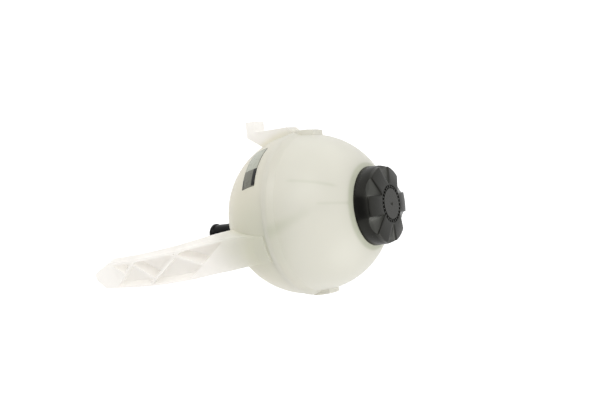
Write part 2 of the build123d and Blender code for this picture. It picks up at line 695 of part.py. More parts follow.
def pressure_gasket():
    """Flat ring between the plate and its seat."""
    outer = THROAT_RADIUS + SEAT_WIDTH + GASKET_MARGIN
    return ring(outer, THROAT_RADIUS - GASKET_MARGIN, GASKET_LOW_Z, PLATE_LOW_Z)


def pressure_plate():
    """Plate of the pressure valve, with a spring collar and the vacuum valve's ports."""
    collar_in = PLATE_COLLAR_RADIUS - PLATE_COLLAR_WALL
    plate = turned([
        (STEM_RADIUS + STEM_CLEARANCE, PLATE_LOW_Z),
        (PLATE_RADIUS, PLATE_LOW_Z),
        (PLATE_RADIUS, PLATE_TOP_Z),
        (PLATE_COLLAR_RADIUS, PLATE_TOP_Z),
        (PLATE_COLLAR_RADIUS, PLATE_TOP_Z + PLATE_COLLAR_HEIGHT),
        (collar_in, PLATE_TOP_Z + PLATE_COLLAR_HEIGHT),
        (collar_in, PLATE_TOP_Z),
        (STEM_RADIUS + STEM_CLEARANCE, PLATE_TOP_Z),
    ])
    for index in range(PORTS):
        hole = Pos(PORT_CIRCLE, 0, 0) * rod(PORT_RADIUS, PLATE_LOW_Z - 1, PLATE_TOP_Z + 1)
        plate -= Rot(0, 0, (index + 0.5) * 360 / PORTS) * hole
    return plate


def vacuum_washer():
    """Rubber washer of the vacuum valve, under the plate."""
    return ring(WASHER_RADIUS, STEM_RADIUS, PLATE_LOW_Z - VALVE_GAP - WASHER_THICKNESS, PLATE_LOW_Z - VALVE_GAP)


def vacuum_stem():
    """Stem of the vacuum valve, with its disc below the plate and its spring collar above."""
    disc_high = PLATE_LOW_Z - VALVE_GAP - WASHER_THICKNESS
    disc_low = disc_high - STEM_DISC_THICKNESS
    return turned([
        (0, disc_low),
        (WASHER_RADIUS + STEM_DISC_MARGIN, disc_low),
        (WASHER_RADIUS + STEM_DISC_MARGIN, disc_high),
        (STEM_RADIUS, disc_high),
        (STEM_RADIUS, STEM_COLLAR_Z),
        (STEM_TOP_RADIUS, STEM_COLLAR_Z),
        (STEM_TOP_RADIUS, STEM_COLLAR_Z + STEM_TOP_THICKNESS),
        (0, STEM_COLLAR_Z + STEM_TOP_THICKNESS),
    ])


def coil(radius, wire, turns, low, high):
    """Square-wire spring with a flat closed turn, a little wider than the wire, at each end."""
    half = wire / 2 + SPRING_END_MARGIN
    foot = ring(radius + half, radius - half, low, low + wire)
    head = ring(radius + half, radius - half, high - wire, high)
    start = low + half
    climb = high - low - 2 * half
    path = Pos(0, 0, start) * Helix(climb / turns, climb, radius)
    section = Plane(origin=path @ 0, x_dir=(1, 0, 0), z_dir=path % 0) * Rectangle(wire, wire)
    return foot + head + sweep(section, path, is_frenet=True)


def pressure_spring():
    """Main spring between the plate and the retainer."""
    radius = PLATE_COLLAR_RADIUS + SPRING_CLEARANCE + MAIN_WIRE / 2
    return coil(radius, MAIN_WIRE, MAIN_TURNS, PLATE_TOP_Z, RETAINER_LOW_Z)


def vacuum_spring():
    """Small spring between the plate and the stem's collar."""
    radius = STEM_RADIUS + SPRING_CLEARANCE + SMALL_WIRE / 2
    return coil(radius, SMALL_WIRE, SMALL_TURNS, PLATE_TOP_Z, STEM_COLLAR_Z)


PIECES = (
    lower_shell,
    upper_shell,
    label,
    outlet_spigot,
    outlet_seal,
    cap_shell,
    cap_plug,
    plug_seal,
    spring_retainer,
    pressure_plate,
    pressure_gasket,
    pressure_spring,
    vacuum_stem,
    vacuum_washer,
    vacuum_spring,
)


def main():
    """Build every piece and write it with the leg's tongue at the origin."""
    os.makedirs("parts", exist_ok=True)
    for piece in PIECES:
        solid = Pos(-TONGUE) * piece()
        export_step(solid, f"parts/{piece.__name__}.step")
        print(f"{piece.__name__}: {solid.volume:.0f} mm3, {len(solid.solids())} solid")


if __name__ == "__main__":
    main()
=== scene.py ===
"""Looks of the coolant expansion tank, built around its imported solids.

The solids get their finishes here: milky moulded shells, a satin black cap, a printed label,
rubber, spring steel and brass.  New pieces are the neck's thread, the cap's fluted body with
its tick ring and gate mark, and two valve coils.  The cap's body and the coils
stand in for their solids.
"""

import json
import logging
import math
from dataclasses import dataclass
from enum import Enum
from typing import Any, Callable, Iterable, Sequence

import bpy
from mathutils import Matrix, Vector


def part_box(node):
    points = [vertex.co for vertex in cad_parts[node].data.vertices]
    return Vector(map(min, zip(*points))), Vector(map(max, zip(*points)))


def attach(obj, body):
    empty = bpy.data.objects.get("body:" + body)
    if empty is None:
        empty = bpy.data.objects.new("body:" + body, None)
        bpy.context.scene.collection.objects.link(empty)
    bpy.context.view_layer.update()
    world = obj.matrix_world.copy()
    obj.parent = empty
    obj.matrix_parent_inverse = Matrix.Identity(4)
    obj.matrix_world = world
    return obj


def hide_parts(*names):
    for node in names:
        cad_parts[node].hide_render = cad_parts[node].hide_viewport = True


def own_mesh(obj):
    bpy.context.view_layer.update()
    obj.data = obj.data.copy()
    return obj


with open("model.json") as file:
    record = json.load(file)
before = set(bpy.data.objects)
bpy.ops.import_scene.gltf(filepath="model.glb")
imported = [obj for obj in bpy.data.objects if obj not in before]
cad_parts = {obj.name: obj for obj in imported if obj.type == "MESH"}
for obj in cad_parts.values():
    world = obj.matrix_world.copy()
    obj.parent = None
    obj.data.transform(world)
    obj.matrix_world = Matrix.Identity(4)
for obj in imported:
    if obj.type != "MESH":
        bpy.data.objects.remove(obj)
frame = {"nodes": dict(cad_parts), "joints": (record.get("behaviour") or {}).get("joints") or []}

LOG = logging.getLogger("expansion_tank")
MM = 0.001
UP = Vector((0, 0, 1))

Colour = tuple[float, float, float]
Direction = tuple[float, float, float]
Span = tuple[float, float]
Shader = bpy.types.NodeSocket

WHITE: Colour = (1.0, 1.0, 1.0)
EVEN: Direction = (1.0, 1.0, 1.0)


class Body(str, Enum):
    """Rigid bodies that pieces ride on."""

    TANK = "tank"
    INSERT = "cap_insert"
    CAP = "cap"
    PRESSURE = "pressure_valve"


class Slot(str, Enum):
    """Material slots of the record, one named on each assembly but not read."""

    TANK = "tank_plastic"
    CAP = "cap_plastic"
    STEEL = "spring_steel"


class Element(str, Enum):
    """Parts of a mesh that can be selected."""

    VERTICES = "vertices"
    FACES = "polygons"


# Shader tools


class Value:
    """A number that varies over a surface, with arithmetic that adds Math nodes."""

    def __init__(self, graph: "Graph", socket: bpy.types.NodeSocket) -> None:
        """Wrap an output socket of a graph."""
        self.graph = graph
        self.socket = socket

    def _math(self, operation: str, *operands: Any) -> "Value":
        """Add one Math node.

        Args:
            operation: The node's operation.
            operands: Values or numbers for its sockets, in order.

        Returns:
            The node's result.
        """
        inputs = dict(enumerate(operands))
        return self.graph.value("ShaderNodeMath", {"operation": operation}, inputs)

    def __add__(self, other: Any) -> "Value":
        """Sum."""
        return self._math("ADD", self, other)

    __radd__ = __add__

    def __sub__(self, other: Any) -> "Value":
        """Difference."""
        return self._math("SUBTRACT", self, other)

    def __rsub__(self, other: Any) -> "Value":
        """Difference from a number."""
        return self._math("SUBTRACT", other, self)

    def __mul__(self, other: Any) -> "Value":
        """Product."""
        return self._math("MULTIPLY", self, other)

    __rmul__ = __mul__

    def __abs__(self) -> "Value":
        """Size without sign."""
        return self._math("ABSOLUTE", self)

    def rises(self, low: float, high: float) -> "Value":
        """Smooth step.

        Args:
            low: Where the step starts, with the result 0.
            high: Where it ends, with the result 1.

        Returns:
            The step.
        """
        inputs = {0: self, 1: low, 2: high}
        return self.graph.value("ShaderNodeMapRange", {"interpolation_type": "SMOOTHSTEP"}, inputs)

    def falls(self, low: float, high: float) -> "Value":
        """Smooth step down, from 1 at low to 0 at high."""
        return 1.0 - self.rises(low, high)


class Graph:
    """Node tree of one material or of the surroundings."""

    def __init__(self, owner: Any) -> None:
        """Start with an empty tree.

        Args:
            owner: Material or world that the tree belongs to.
        """
        owner.use_nodes = True
        self.owner = owner
        self.tree = owner.node_tree
        self.tree.nodes.clear()

    @classmethod
    def paint(cls, name: str) -> "Graph":
        """Tree of a new material."""
        return cls(bpy.data.materials.new(name))

    def node(self, kind: str, settings: dict[str, Any], inputs: dict[Any, Any]) -> bpy.types.Node:
        """Add any node.

        Args:
            kind: Node type.
            settings: Properties of the node, set first.
            inputs: Socket name or number to a number, a colour, a Value or an output socket.

        Returns:
            The node.
        """
        made = self.tree.nodes.new(kind)
        for name, setting in settings.items():
            setattr(made, name, setting)
        for key, given in inputs.items():
            socket = made.inputs[key]
            if isinstance(given, Value):
                self.tree.links.new(given.socket, socket)
            elif isinstance(given, bpy.types.NodeSocket):
                self.tree.links.new(given, socket)
            else:
                socket.default_value = (*given, 1.0) if socket.type == "RGBA" else given
        return made

    def value(
        self, kind: str, settings: dict[str, Any], inputs: dict[Any, Any], output: Any = 0,
    ) -> Value:
        """Add a node and wrap one of its outputs."""
        return Value(self, self.node(kind, settings, inputs).outputs[output])

    def vector(self, operation: str, inputs: dict[Any, Any], output: str = "Vector") -> Value:
        """Add one Vector Math node and wrap one of its outputs."""
        return self.value("ShaderNodeVectorMath", {"operation": operation}, inputs, output)

    def place(self) -> Value:
        """Object coordinates, in metres in the part's own frame."""
        return self.value("ShaderNodeTexCoord", {}, {}, "Object")

    def offset(self, origin: Vector) -> Value:
        """Vector from an origin to the shaded point, in metres."""
        return self.vector("SUBTRACT", {0: self.place(), 1: origin})

    def along(self, origin: Vector, direction: Vector) -> Value:
        """Distance of the shaded point from an origin along a direction.

        Args:
            origin: Where the distance is zero.
            direction: Unit vector that it is measured along.

        Returns:
            The distance in metres.
        """
        return self.vector("DOT_PRODUCT", {0: self.offset(origin), 1: direction}, "Value")

    def above(self, origin: Vector) -> Value:
        """Height of the shaded point above an origin, in metres."""
        return self.along(origin, UP)

    def reach(self, origin: Vector) -> Value:
        """Distance of the shaded point from an origin, in metres."""
        return self.vector("DISTANCE", {0: self.place(), 1: origin}, "Value")

    def off_axis(self, origin: Vector) -> Value:
        """Distance of the shaded point from the upright line through an origin, in metres."""
        flat = self.vector("MULTIPLY", {0: self.offset(origin), 1: (1, 1, 0)})
        return self.vector("LENGTH", {0: flat}, "Value")

    def noise(self, scale: float, detail: float = 2.0, stretch: Direction = EVEN) -> Value:
        """Noise from -0.5 to 0.5.

        Args:
            scale: Repeats per metre.
            detail: Octaves.
            stretch: Factor on each axis.

        Returns:
            The noise.
        """
        place = self.value("ShaderNodeMapping", {}, {"Vector": self.place(), "Scale": stretch})
        inputs = {"Vector": place, "Scale": scale, "Detail": detail}
        return self.value("ShaderNodeTexNoise", {}, inputs) - 0.5

    def mix(self, share: Any, first: Any, second: Any) -> Value:
        """Mix of two colours.

        Args:
            share: Share of the second colour.
            first: Colour where the share is 0.
            second: Colour where the share is 1.

        Returns:
            The colour.
        """
        inputs = {0: share, 6: first, 7: second}
        return self.value("ShaderNodeMix", {"data_type": "RGBA"}, inputs, 2)

    def bump(self, height: Value, strength: float, distance: float) -> Value:
        """Bump from a height.

        Args:
            height: Height, 0 to 1.
            strength: Share of the bump that is used.
            distance: Depth in metres.

        Returns:
            The normal.
        """
        inputs = {"Height": height, "Strength": strength, "Distance": distance}
        return self.value("ShaderNodeBump", {}, inputs)

    def shader(self, kind: str, inputs: dict[Any, Any]) -> Shader:
        """Add a shader node and give its output."""
        return self.node(f"ShaderNode{kind}", {}, inputs).outputs[0]

    def blend(self, share: Any, first: Shader, second: Shader) -> Shader:
        """Mix of two shaders, with the share of the second one."""
        return self.shader("MixShader", {0: share, 1: first, 2: second})

    def finish(self, shader: Shader) -> Any:
        """Connect the surface and give the finished material or world."""
        kind = "World" if isinstance(self.owner, bpy.types.World) else "Material"
        self.node(f"ShaderNodeOutput{kind}", {}, {"Surface": shader})
        return self.owner


# Where things are


@dataclass(frozen=True)
class Layout:
    """Places that the classes measure from.

    The centre is the ball's, at the height of the weld.
    """

    centre: Vector
    radius: float = 70 * MM

    @classmethod
    def read(cls) -> "Layout":
        """Read the cap's axis and the weld's height from the frame."""
        turn = next(joint for joint in frame["joints"] if joint["name"] == "cap_turn")
        axis = Vector(turn["pos_m"])
        return cls(Vector((axis.x, axis.y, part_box("lower_shell")[1].z)))

    def on_ball(self, azimuth: float, latitude: float) -> Vector:
        """Unit vector from the ball's centre.

        Args:
            azimuth: Degrees from -Y towards +X.
            latitude: Degrees up from the weld.

        Returns:
            The direction.
        """
        turn, rise = math.radians(azimuth), math.radians(latitude)
        flat = math.cos(rise)
        return Vector((math.sin(turn) * flat, -math.cos(turn) * flat, math.sin(rise)))


# Finishes


@dataclass(frozen=True)
class PaintedShadowLine:
    """Painted shadow line on the ball, such as a rib's shadow seen through the wall.

    Its ends are given as azimuth and latitude in degrees.
    """

    start: Span
    end: Span
    half: float
    strength: float
    full_share: float = 0.65
    front: float = 20 * MM

    def mask(self, graph: Graph, layout: Layout) -> Value:
        """Mask of the line.

        Args:
            graph: Graph of the material.
            layout: Places to measure from.

        Returns:
            Mask from 0 to the line's strength.
        """
        first, last = layout.on_ball(*self.start), layout.on_ball(*self.end)
        way = (last - first).normalized()
        reach = (last - first).length / 2 * layout.radius
        side = first.cross(last).normalized()
        across = abs(graph.along(layout.centre, side)).falls(0, self.half)
        length = abs(graph.along(layout.centre, way)).falls(self.full_share * reach, reach)
        front = graph.along(layout.centre, (first + last).normalized()).rises(0, self.front)
        return across * length * front * self.strength


@dataclass(frozen=True)
class MilkyPlastic:
    """Translucent natural polymer of the two shells, painted paler where it is thin as light
    through it, with painted shade and a painted weld highlight.
    """

    wall: Colour = (0.80, 0.79, 0.70)
    # Yellower and darker towards the bottom.
    warm: Colour = (0.79, 0.75, 0.61)
    warm_span: Span = (-40 * MM, 25 * MM)
    shade: Colour = (0.58, 0.60, 0.47)
    # Painted light: the thin leg and tab are painted paler, as if lit through from behind, beside
    # their real translucence.
    thin: Colour = (0.945, 0.925, 0.90)
    thin_from: Span = (70.8 * MM, 78 * MM)
    # Painted highlight: a paler band along the weld's crest.
    weld: Colour = (0.90, 0.88, 0.78)
    weld_highlight_half: Span = (0.8 * MM, 3.4 * MM)
    weld_highlight_share: float = 0.38
    glow: Colour = (0.965, 0.955, 0.93)
    wall_translucence: float = 0.34
    thin_translucence: float = 0.50
    roughness: float = 0.36
    roughness_change: float = 0.10
    roughness_scale: float = 60.0
    ior: float = 1.49
    sheen: float = 0.4
    sheen_roughness: float = 0.5
    peel_scales: Span = (900.0, 170.0)
    peel_shares: Span = (0.6, 0.4)
    peel_strength: float = 0.10
    peel_depth: float = 0.25 * MM
    # Darker near the leg's root: painted shade from the leg, together with the thicker wall there.
    root: Span = (16.0, -17.0)
    root_span: Span = (6 * MM, 62 * MM)
    root_shade: float = 0.56
    # Darker band round the neck next to the cap: a painted shadow of the cap, together with the
    # neck showing through the wall.
    neck_span: Span = (33.4 * MM, 39 * MM)
    neck_height: Span = (40 * MM, 50 * MM)
    neck_shade: float = 1.7
    cloud_scale: float = 14.0
    cloud_shade: float = 0.25
    # Painted shadows of the two ribs inside the ball, and a diagonal painted shadow from the leg's
    # root up over the weld.
    painted_shadow_lines: tuple[PaintedShadowLine, ...] = (
        PaintedShadowLine((-26.0, 12.0), (-26.0, 54.0), 3.2 * MM, 0.42),
        PaintedShadowLine((-8.0, 34.0), (-8.0, 62.0), 2.6 * MM, 0.38),
        PaintedShadowLine((11.0, -4.0), (-5.0, 36.0), 8.0 * MM, 0.30),
    )

    def depth(self, graph: Graph, layout: Layout) -> Value:
        """Share of the darker tone: painted shade at the leg's root (also thicker there), round the
        neck and along shadow lines, and random cloud.

        Args:
            graph: Graph of the material.
            layout: Places to measure from.

        Returns:
            Share from 0 to 1.
        """
        spot = layout.centre + layout.on_ball(*self.root) * layout.radius
        root = graph.reach(spot).falls(*self.root_span)
        high = graph.above(layout.centre).rises(*self.neck_height)
        neck = graph.off_axis(layout.centre).falls(*self.neck_span) * high
        cloud = graph.noise(self.cloud_scale, detail=3.0)
        total = root * self.root_shade + neck * self.neck_shade + cloud * self.cloud_shade
        for painted_shadow_line in self.painted_shadow_lines:
            total = total + painted_shadow_line.mask(graph, layout)
        return total.rises(0, 1)

    def peel(self, graph: Graph) -> Value:
        """Normal of the slightly uneven skin."""
        fine = graph.noise(self.peel_scales[0]) * self.peel_shares[0]
        coarse = graph.noise(self.peel_scales[1], detail=1.0) * self.peel_shares[1]
        return graph.bump(fine + coarse, self.peel_strength, self.peel_depth)

    def make(self, layout: Layout) -> bpy.types.Material:
        """Build the material.

        Args:
            layout: Places to measure from.

        Returns:
            The material.
        """
        graph = Graph.paint("milky_plastic")
        height = graph.above(layout.centre)
        thin = graph.reach(layout.centre).rises(*self.thin_from)
        # Painted highlight along the weld's crest.
        crest = abs(height).falls(*self.weld_highlight_half) * self.weld_highlight_share
        colour = graph.mix(height.falls(*self.warm_span), self.wall, self.warm)
        # Thin parts painted paler, as painted light through them.
        colour = graph.mix(thin, colour, self.thin)
        # Painted shade and shadows, with the thicker wall at the leg's root and random cloud.
        colour = graph.mix(self.depth(graph, layout), colour, self.shade)
        colour = graph.mix(crest, colour, self.weld)
        normal = self.peel(graph)
        uneven = graph.noise(self.roughness_scale) * self.roughness_change
        skin = graph.shader("BsdfPrincipled", {
            "Base Color": colour,
            "Roughness": uneven + self.roughness,
            "IOR": self.ior,
            "Sheen Weight": self.sheen,
            "Sheen Roughness": self.sheen_roughness,
            "Normal": normal,
        })
        glow = graph.shader("BsdfTranslucent", {"Color": self.glow, "Normal": normal})
        gain = self.thin_translucence - self.wall_translucence
        return graph.finish(graph.blend(thin * gain + self.wall_translucence, skin, glow))


@dataclass(frozen=True)
class Grained:
    """Moulded surface with uneven wear and a fine grain."""

    name: str
    colour: Colour
    worn: Colour
    roughness: float
    specular: float = 0.5
    wear_scale: float = 45.0
    worn_span: Span = (0.35, 0.8)
    roughness_change: float = 0.18
    grain_scale: float = 1400.0
    grain_strength: float = 0.22
    grain_depth: float = 0.12 * MM

    def wear(self, graph: Graph) -> Value:
        """Uneven wear, from -0.5 to 0.5."""
        return graph.noise(self.wear_scale, detail=3.0)

    def tone(self, graph: Graph, wear: Value) -> Value:
        """Colour, paler where the surface is worn."""
        return graph.mix((wear + 0.5).rises(*self.worn_span), self.colour, self.worn)

    def grain(self, graph: Graph) -> Value:
        """Normal of the grain."""
        return graph.bump(graph.noise(self.grain_scale), self.grain_strength, self.grain_depth)


@dataclass(frozen=True)
class MouldedPlastic(Grained):
    """Opaque moulded plastic or rubber."""

    def make(self) -> bpy.types.Material:
        """Build the material."""
        graph = Graph.paint(self.name)
        wear = self.wear(graph)
        return graph.finish(graph.shader("BsdfPrincipled", {
            "Base Color": self.tone(graph, wear),
            "Roughness": wear * self.roughness_change + self.roughness,
            "Specular IOR Level": self.specular,
            "Normal": self.grain(graph),
        }))


@dataclass(frozen=True)
class CapPlastic(Grained):
    """Black plastic of the cap, with a satin crown, a duller skirt and a painted reflection on the
    flutes' floors.
    """

    name: str = "cap_plastic"
    colour: Colour = (0.004, 0.004, 0.0035)
    worn: Colour = (0.008, 0.008, 0.0075)
    roughness: float = 0.28
    specular: float = 0.40
    tint: Colour = (1.0, 1.0, 0.88)
    # Painted reflection on the flutes' floors, paler than the lobes.
    painted_reflection: Colour = (0.062, 0.063, 0.058)
    painted_reflection_depth: Span = (0.7 * MM, 2.4 * MM)
    painted_reflection_end: Span = (31.8 * MM, 32.3 * MM)
    painted_reflection_floor: Span = (73.0 * MM, 73.6 * MM)
    crown_slope: float = 0.195
    crown_start: Span = (15.8 * MM, 80.9 * MM)
    disc: float = 16 * MM
    disc_edge: float = 0.1 * MM
    crown_dull: float = 0.20
    skirt_dull: float = 0.42
    shoulder: Span = (74.2 * MM, 75.4 * MM)

    def flute(self, height: Value, radius: Value) -> Value:
        """Mask of the painted reflection on the flutes' floors, which lie below the line of the
        crown.

        Args:
            height: Height above the weld.
            radius: Distance from the cap's axis.

        Returns:
            Mask from 0 to 1.
        """
        start_radius, start_height = self.crown_start
        depth = start_height - (radius - start_radius) * self.crown_slope - height
        inside = radius.rises(self.disc, self.disc + MM) * radius.falls(*self.painted_reflection_end)
        return depth.rises(*self.painted_reflection_depth) * inside * height.rises(*self.painted_reflection_floor)

    def make(self, layout: Layout) -> bpy.types.Material:
        """Build the material.

        Args:
            layout: Places to measure from.

        Returns:
            The material.
        """
        graph = Graph.paint(self.name)
        height = graph.above(layout.centre)
        radius = graph.off_axis(layout.centre)
        wear = self.wear(graph)
        normal = self.grain(graph)
        satin = graph.shader("BsdfPrincipled", {
            # Painted reflection: the flutes' floors are painted paler than the lobes.
            "Base Color": graph.mix(self.flute(height, radius), self.tone(graph, wear), self.painted_reflection),
            "Roughness": wear * self.roughness_change + self.roughness,
            "Specular IOR Level": self.specular,
            "Specular Tint": self.tint,
            "Normal": normal,
        })
        dull = graph.shader("BsdfDiffuse", {"Color": self.worn, "Normal": normal})
        crown = radius.rises(self.disc - self.disc_edge, self.disc) * self.crown_dull
        skirt = height.falls(*self.shoulder) * (self.skirt_dull - self.crown_dull)
        return graph.finish(graph.blend(crown + skirt, satin, dull))


@dataclass(frozen=True)
class Metal:
    """Drawn or turned metal with fine marks along its length."""

    name: str
    colour: Colour
    dark: Colour
    roughness: float
    roughness_change: float = 0.2
    dark_span: Span = (0.3, 0.8)
    mark_scale: float = 700.0
    mark_stretch: Direction = (1.0, 1.0, 6.0)
    mark_strength: float = 0.15
    mark_depth: float = 0.05 * MM

    def make(self) -> bpy.types.Material:
        """Build the material."""
        graph = Graph.paint(self.name)
        marks = graph.noise(self.mark_scale, detail=3.0, stretch=self.mark_stretch)
        return graph.finish(graph.shader("BsdfPrincipled", {
            "Base Color": graph.mix((marks + 0.5).rises(*self.dark_span), self.colour, self.dark),
            "Metallic": 1.0,
            "Roughness": marks * self.roughness_change + self.roughness,
            "Normal": graph.bump(marks, self.mark_strength, self.mark_depth),
        }))


@dataclass(frozen=True)
class PrintedFilm:
    """Label film with a silver panel, a grey panel and plain bars.

    The label's length runs round the ball and its width up towards the weld.
    """

    azimuth: float = -41.5
    latitude: float = -15.6
    silver: Colour = (0.40, 0.41, 0.345)
    grey: Colour = (0.150, 0.150, 0.122)
    ink: Colour = (0.006, 0.006, 0.005)
    grey_from: Span = (3.4 * MM, 4.2 * MM)
    bar_from: Span = (3.6 * MM, 4.1 * MM)
    bar_end: Span = (19.6 * MM, 19.9 * MM)
    foot_below: Span = (-6.3 * MM, -5.8 * MM)
    foot_from: Span = (11 * MM, 13 * MM)
    edge_from: Span = (6.9 * MM, 7.2 * MM)
    edge_ink: float = 0.5
    roughness: float = 0.28
    roughness_change: float = 0.12
    roughness_scale: float = 300.0
    ior: float = 1.5
    specular: float = 0.15

    def make(self, layout: Layout) -> bpy.types.Material:
        """Build the material.

        Args:
            layout: Places to measure from.

        Returns:
            The material.
        """
        graph = Graph.paint("label_film")
        out = layout.on_ball(self.azimuth, self.latitude)
        east = Vector((-out.y, out.x, 0)).normalized()
        run = graph.along(layout.centre, east)
        rise = graph.along(layout.centre, out.cross(east))
        panel = run.rises(*self.grey_from)
        bar = rise.rises(*self.bar_from) * panel * run.falls(*self.bar_end)
        foot = rise.falls(*self.foot_below) * run.rises(*self.foot_from)
        edge = abs(rise).rises(*self.edge_from) * (1.0 - panel) * self.edge_ink
        colour = graph.mix(panel, self.silver, self.grey)
        uneven = graph.noise(self.roughness_scale) * self.roughness_change
        return graph.finish(graph.shader("BsdfPrincipled", {
            "Base Color": graph.mix(bar + foot + edge, colour, self.ink),
            "Roughness": uneven + self.roughness,
            "IOR": self.ior,
            "Specular IOR Level": self.specular,
        }))


SPIGOT_PLASTIC = MouldedPlastic(
    "spigot_plastic", colour=(0.002, 0.002, 0.002), worn=(0.004, 0.004, 0.004),
    roughness=0.34, specular=0.1)
VALVE_PLASTIC = MouldedPlastic(
    "valve_plastic", colour=(0.10, 0.10, 0.11), worn=(0.14, 0.14, 0.15), roughness=0.42)
SEAL_RUBBER = MouldedPlastic(
    "seal_rubber", colour=(0.015, 0.015, 0.015), worn=(0.03, 0.03, 0.03), roughness=0.62)
SPRING_STEEL = Metal(
    "spring_steel", colour=(0.60, 0.60, 0.61), dark=(0.42, 0.42, 0.43), roughness=0.28)
STEM_BRASS = Metal(
    "stem_brass", colour=(0.78, 0.60, 0.28), dark=(0.60, 0.44, 0.18), roughness=0.30)


# Modelling tools


class Bench:
    """Edit-mode helpers that work on one object at a time."""

    HOLE_SIDES = 4
    CREASE = math.radians(35)
    ORDER_FROM = (53 * MM, 31 * MM, 17 * MM)

    @staticmethod
    def clear() -> None:
        """Leave edit mode and deselect everything."""
        if bpy.context.object and bpy.context.object.mode != "OBJECT":
            bpy.ops.object.mode_set(mode="OBJECT")
        bpy.ops.object.select_all(action="DESELECT")

    @staticmethod
    def pick(piece: bpy.types.Object) -> None:
        """Make one object the only selected and active one."""
        Bench.clear()
        piece.select_set(True)
        bpy.context.view_layer.objects.active = piece

    @staticmethod
    def grab(piece: bpy.types.Object, kind: Element, wanted: Callable[[Any], bool]) -> None:
        """Enter edit mode with some vertices or faces selected.

        Args:
            piece: The active object.
            kind: What is selected.
            wanted: Test that says which of them.
        """
        bpy.ops.object.mode_set(mode="EDIT")
        bpy.ops.mesh.select_all(action="DESELECT")
        bpy.ops.object.mode_set(mode="OBJECT")
        for element in getattr(piece.data, kind.value):
            element.select = wanted(element)
        bpy.ops.object.mode_set(mode="EDIT")

    @staticmethod
    def settle(piece: bpy.types.Object) -> None:
        """Put the object's place, turn and scale into its mesh."""
        Bench.pick(piece)
        bpy.ops.object.transform_apply(location=True, rotation=True, scale=True)

    @staticmethod
    def apply(piece: bpy.types.Object, kind: str, **settings: Any) -> None:
        """Add a modifier and apply it.

        Args:
            piece: Object to change.
            kind: Modifier type.
            settings: Its properties.
        """
        Bench.pick(piece)
        made = piece.modifiers.new(kind.lower(), kind)
        for name, setting in settings.items():
            setattr(made, name, setting)
        bpy.ops.object.modifier_apply(modifier=made.name)

    @staticmethod
    def shift(piece: bpy.types.Object, offset: Vector) -> None:
        """Move an object and put the move into its mesh."""
        piece.location = offset
        Bench.settle(piece)

    @staticmethod
    def smooth(piece: bpy.types.Object) -> None:
        """Shade smooth, with creases at sharp edges."""
        Bench.pick(piece)
        bpy.ops.object.shade_smooth_by_angle(angle=Bench.CREASE)

    @staticmethod
    def close(piece: bpy.types.Object, reach: float = 0.001 * MM) -> None:
        """Close a mesh and point its faces outwards.

        Args:
            piece: Object to change.
            reach: Vertices nearer to each other than this are merged.
        """
        Bench.pick(piece)
        bpy.ops.object.mode_set(mode="EDIT")
        bpy.ops.mesh.select_all(action="SELECT")
        bpy.ops.mesh.remove_doubles(threshold=reach)
        bpy.ops.mesh.fill_holes(sides=Bench.HOLE_SIDES)
        bpy.ops.mesh.select_all(action="SELECT")
        bpy.ops.mesh.normals_make_consistent(inside=False)
        bpy.ops.object.mode_set(mode="OBJECT")

    @staticmethod
    def order(piece: bpy.types.Object) -> None:
        """Number a mesh by distance from a point off its axes, so that each run merges it alike."""
        Bench.pick(piece)
        bpy.context.scene.cursor.location = Bench.ORDER_FROM
        bpy.ops.object.mode_set(mode="EDIT")
        bpy.ops.mesh.select_all(action="SELECT")
        bpy.ops.mesh.sort_elements(type="CURSOR_DISTANCE", elements={"VERT", "EDGE", "FACE"})
        bpy.ops.object.mode_set(mode="OBJECT")
        bpy.context.scene.cursor.location = (0, 0, 0)

    @staticmethod
    def spread(
        piece: bpy.types.Object, name: str, places: Iterable[Matrix],
    ) -> bpy.types.Object:
        """Copy a piece to several places and join the copies.

        Args:
            piece: The modelled piece, which is used up.
            name: Name of the joined piece.
            places: Place of each copy.

        Returns:
            The joined piece.
        """
        copies = []
        for place in places:
            copy = piece.copy()
            copy.data = piece.data.copy()
            copy.data.transform(place)
            bpy.context.scene.collection.objects.link(copy)
            copies.append(copy)
        Bench.clear()
        for copy in copies:
            copy.select_set(True)
        bpy.context.view_layer.objects.active = copies[0]
        bpy.ops.object.join()
        bpy.data.objects.remove(piece)
        joined = bpy.context.object
        joined.name = name
        return joined


def dress(piece: bpy.types.Object, material: bpy.types.Material) -> None:
    """Give a piece one material."""
    piece.data.materials.clear()
    piece.data.materials.append(material)


def metres(*points: Span) -> tuple[Span, ...]:
    """Points of a profile in metres, from points in millimetres."""
    return tuple((radius * MM, height * MM) for radius, height in points)


def turns(count: int) -> list[Matrix]:
    """Even turns round the upright axis, one for each of a number of copies."""
    return [Matrix.Rotation(math.tau * index / count, 4, "Z") for index in range(count)]


# Sub-assemblies


@dataclass(kw_only=True)
class Assembly:
    """New pieces of one material that ride on one body."""

    material: bpy.types.Material
    body: Body
    slot: Slot

    def hang(self, piece: bpy.types.Object, replaced: str = "") -> None:
        """Dress a finished piece and hang it on the body.

        Args:
            piece: The piece.
            replaced: Solid that it stands in for, if any.
        """
        dress(piece, self.material)
        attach(piece, self.body.value)
        if replaced:
            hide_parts(replaced)
        LOG.info("%s rides on %s", piece.name, self.body.value)


